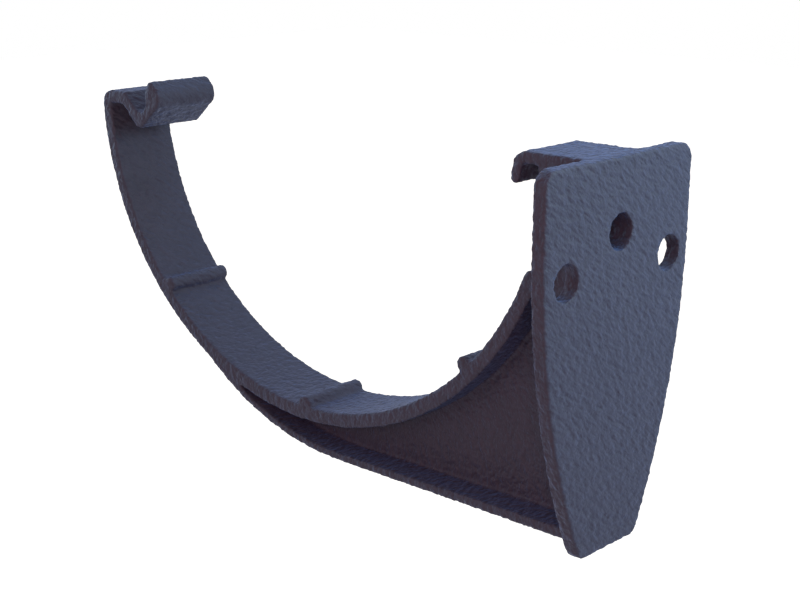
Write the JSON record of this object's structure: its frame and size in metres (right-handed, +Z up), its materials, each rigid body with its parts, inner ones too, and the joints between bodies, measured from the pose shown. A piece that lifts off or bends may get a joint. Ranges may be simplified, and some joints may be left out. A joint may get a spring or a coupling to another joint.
{
  "type": "gutter bracket",
  "caption": "Moulded fascia bracket for a half-round gutter: ribbed strap with a snap hook at the front, clip at the rear, web and screw plate.",
  "frame": {"origin": "on the fascia face, midway between the two outer screw holes", "axes": "+X along the gutter, +Y out of the fascia face towards the wall, +Z up; the gutter lies on the -Y side"},
  "size_m": [0.0412, 0.1284, 0.0711],
  "materials": {
    "moulded_body": "dark slate grey, fine cast grain, low sheen"
  },
  "bodies": {
    "root": {"gutter_bracket": "moulded_body"}
  },
  "joints": []
}
